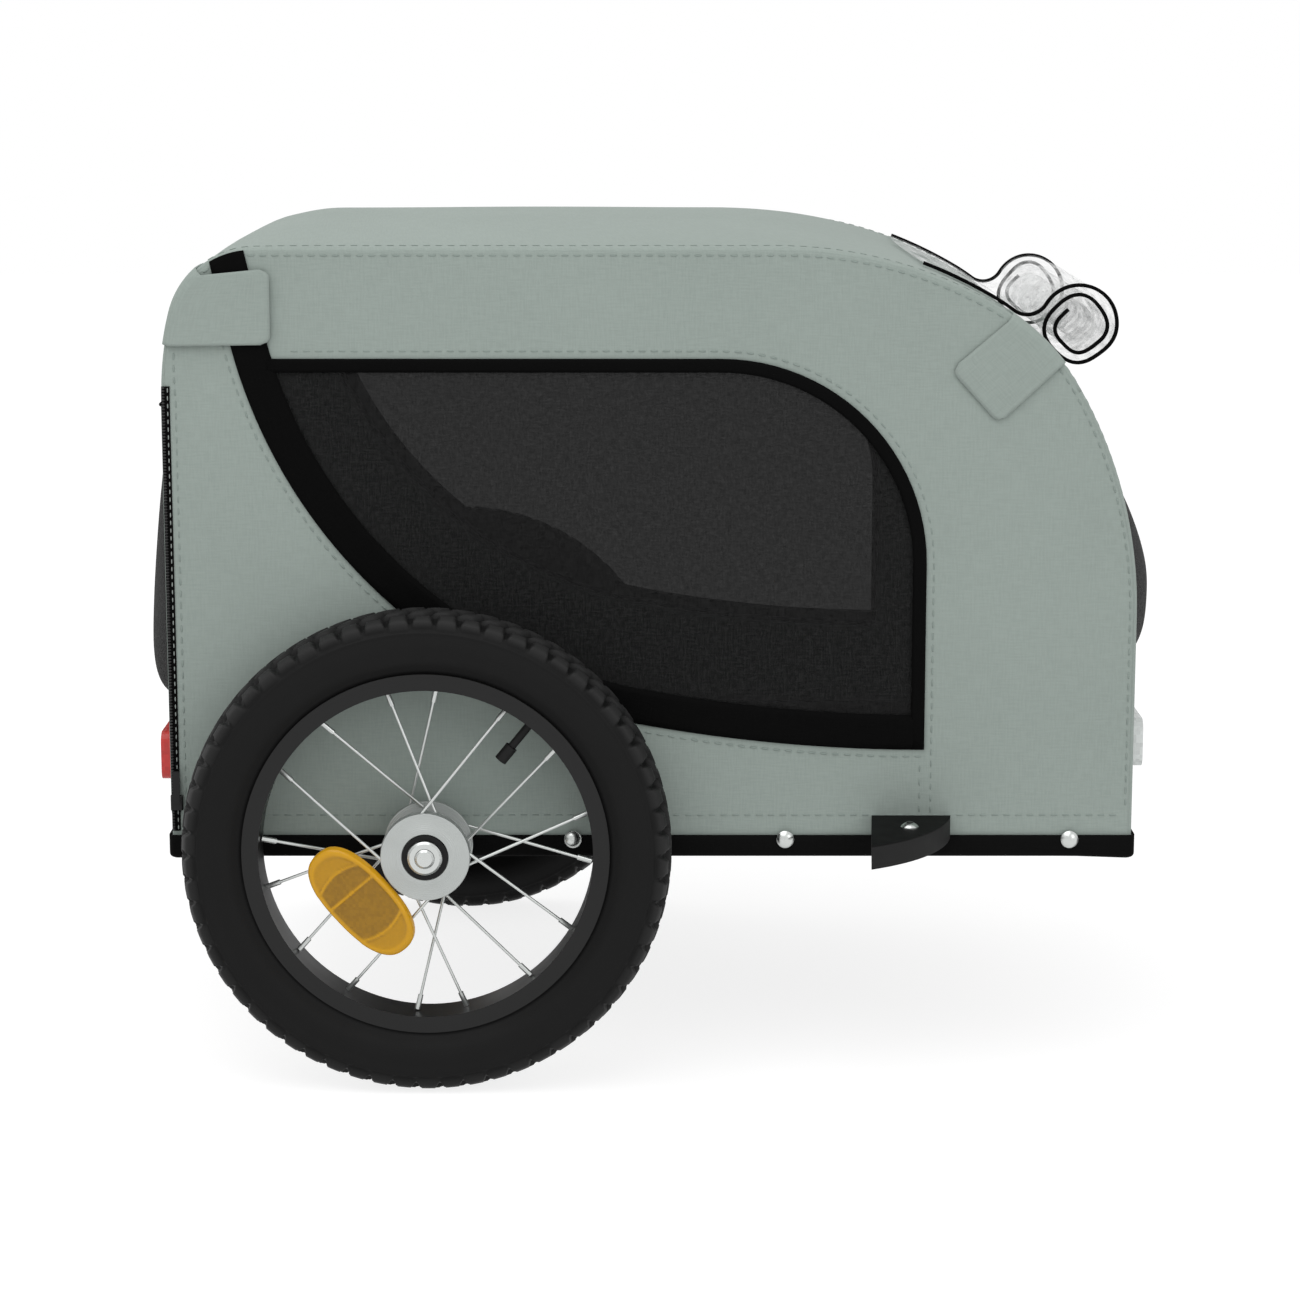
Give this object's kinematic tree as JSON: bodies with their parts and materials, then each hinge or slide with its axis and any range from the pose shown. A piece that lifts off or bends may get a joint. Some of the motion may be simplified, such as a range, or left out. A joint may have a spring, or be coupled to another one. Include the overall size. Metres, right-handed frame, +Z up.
{
  "type": "dog bike trailer",
  "caption": "Dog trailer to tow behind a bicycle: cloth cabin with net windows and doors on a steel frame, spoked wheels on quick-release axles and a rolled rain cover",
  "frame": {"origin": "on the ground, under the middle of the whole body", "axes": "+X forward, +Y to the left side, +Z up"},
  "size_m": [0.78, 0.646, 0.6259],
  "materials": {
    "green_cloth": "woven polyester, PU coated, grey-green",
    "black_cloth": "woven polyester, black",
    "black_tape": "woven webbing tape, black",
    "black_net": "knitted polyester net, black",
    "clear_sheet": "clear soft PVC sheet",
    "black_steel": "powder coated, black",
    "zinc_steel": "zinc plated",
    "bolt_chrome": "polished dome heads",
    "hub_alloy": "turned and clear coated",
    "tyre_rubber": "moulded, matt",
    "black_rubber": "moulded, matt",
    "black_plastic": "moulded, fine grain",
    "floor_sheet": "black twin-wall board",
    "amber_lens": "prismatic amber lens",
    "red_lens": "prismatic red lens",
    "white_lens": "prismatic clear lens"
  },
  "bodies": {
    "chassis": {"axle_cross_tube": "black_steel", "floor_board": "floor_sheet", "floor_cloth": "black_cloth", "front_corner_patches": "green_cloth", "front_cross_tube": "black_steel", "front_panel": "green_cloth", "front_reflectors": "white_lens", "front_roof_bar": "black_steel", "guard_bolts": "bolt_chrome", "left_axle": "zinc_steel", "left_button_spring": "zinc_steel", "left_hoop": "black_steel", "left_rail": "black_steel", "left_side_panel": "green_cloth", "left_window_mesh": "black_net", "left_window_trim": "black_tape", "rail_bolts": "bolt_chrome", "rain_cover": "clear_sheet", "rain_cover_binding": "black_tape", "rear_corner_patches": "green_cloth", "rear_cross_tube": "black_steel", "rear_panel": "black_cloth", "rear_roof_bar": "black_steel", "rear_zips": "black_tape", "right_axle": "zinc_steel", "right_button_spring": "zinc_steel", "right_hoop": "black_steel", "right_rail": "black_steel", "right_side_panel": "green_cloth", "right_window_mesh": "black_net", "right_window_trim": "black_tape", "roof_panel": "green_cloth", "tow_bar_socket": "black_steel", "wheel_guards": "black_plastic"},
    "right_wheel": {"right_tyre": "tyre_rubber", "right_inner_tube": "black_rubber", "right_rim": "black_steel", "right_spokes": "zinc_steel", "right_hub": "hub_alloy", "right_bearings": "zinc_steel", "right_seal": "black_rubber", "right_wheel_reflector": "amber_lens"},
    "left_wheel": {"left_tyre": "tyre_rubber", "left_inner_tube": "black_rubber", "left_rim": "black_steel", "left_spokes": "zinc_steel", "left_hub": "hub_alloy", "left_bearings": "zinc_steel", "left_seal": "black_rubber", "left_wheel_reflector": "amber_lens"},
    "right_button": {"right_axle_button": "zinc_steel"},
    "left_button": {"left_axle_button": "zinc_steel"},
    "rear_door": {"rear_door_border": "black_cloth", "rear_door_mesh": "black_net", "rear_reflectors": "red_lens"},
    "front_door": {"front_door_border": "black_tape", "front_door_mesh": "black_net"},
    "right_slider": {"right_zip_slider": "black_plastic"},
    "left_slider": {"left_zip_slider": "black_plastic"}
  },
  "joints": [
    {"name": "right_wheel_spin", "type": "hinge", "parent": "chassis", "child": "right_wheel", "pos_m": [-0.1635, -0.26, 0.178], "axis": [0, 1, 0], "continuous": true},
    {"name": "right_button_press", "type": "slide", "parent": "chassis", "child": "right_button", "axis": [0, 1, 0], "range_m": [0, 0.003], "stiffness_N_per_m": 600, "springref_m": -0.004, "deforming": ["right_button_spring"]},
    {"name": "right_zip_pull", "type": "slide", "parent": "chassis", "child": "right_slider", "axis": [0, 0, 1], "range_m": [0, 0.28]},
    {"name": "left_wheel_spin", "type": "hinge", "parent": "chassis", "child": "left_wheel", "pos_m": [-0.1635, 0.26, 0.178], "axis": [0, 1, 0], "continuous": true},
    {"name": "left_button_press", "type": "slide", "parent": "chassis", "child": "left_button", "axis": [0, -1, 0], "range_m": [0, 0.003], "stiffness_N_per_m": 600, "springref_m": -0.004, "deforming": ["left_button_spring"]},
    {"name": "left_zip_pull", "type": "slide", "parent": "chassis", "child": "left_slider", "axis": [0, 0, 1], "range_m": [0, 0.28]},
    {"name": "rear_door_swing", "type": "hinge", "parent": "chassis", "child": "rear_door", "pos_m": [-0.3535, 0, 0.49893], "axis": [0, 1, 0], "range_deg": [0, 110]},
    {"name": "front_door_swing", "type": "hinge", "parent": "chassis", "child": "front_door", "pos_m": [0.32853, 0, 0.4685], "axis": [0, -1, 0], "range_deg": [0, 80]}
  ]
}
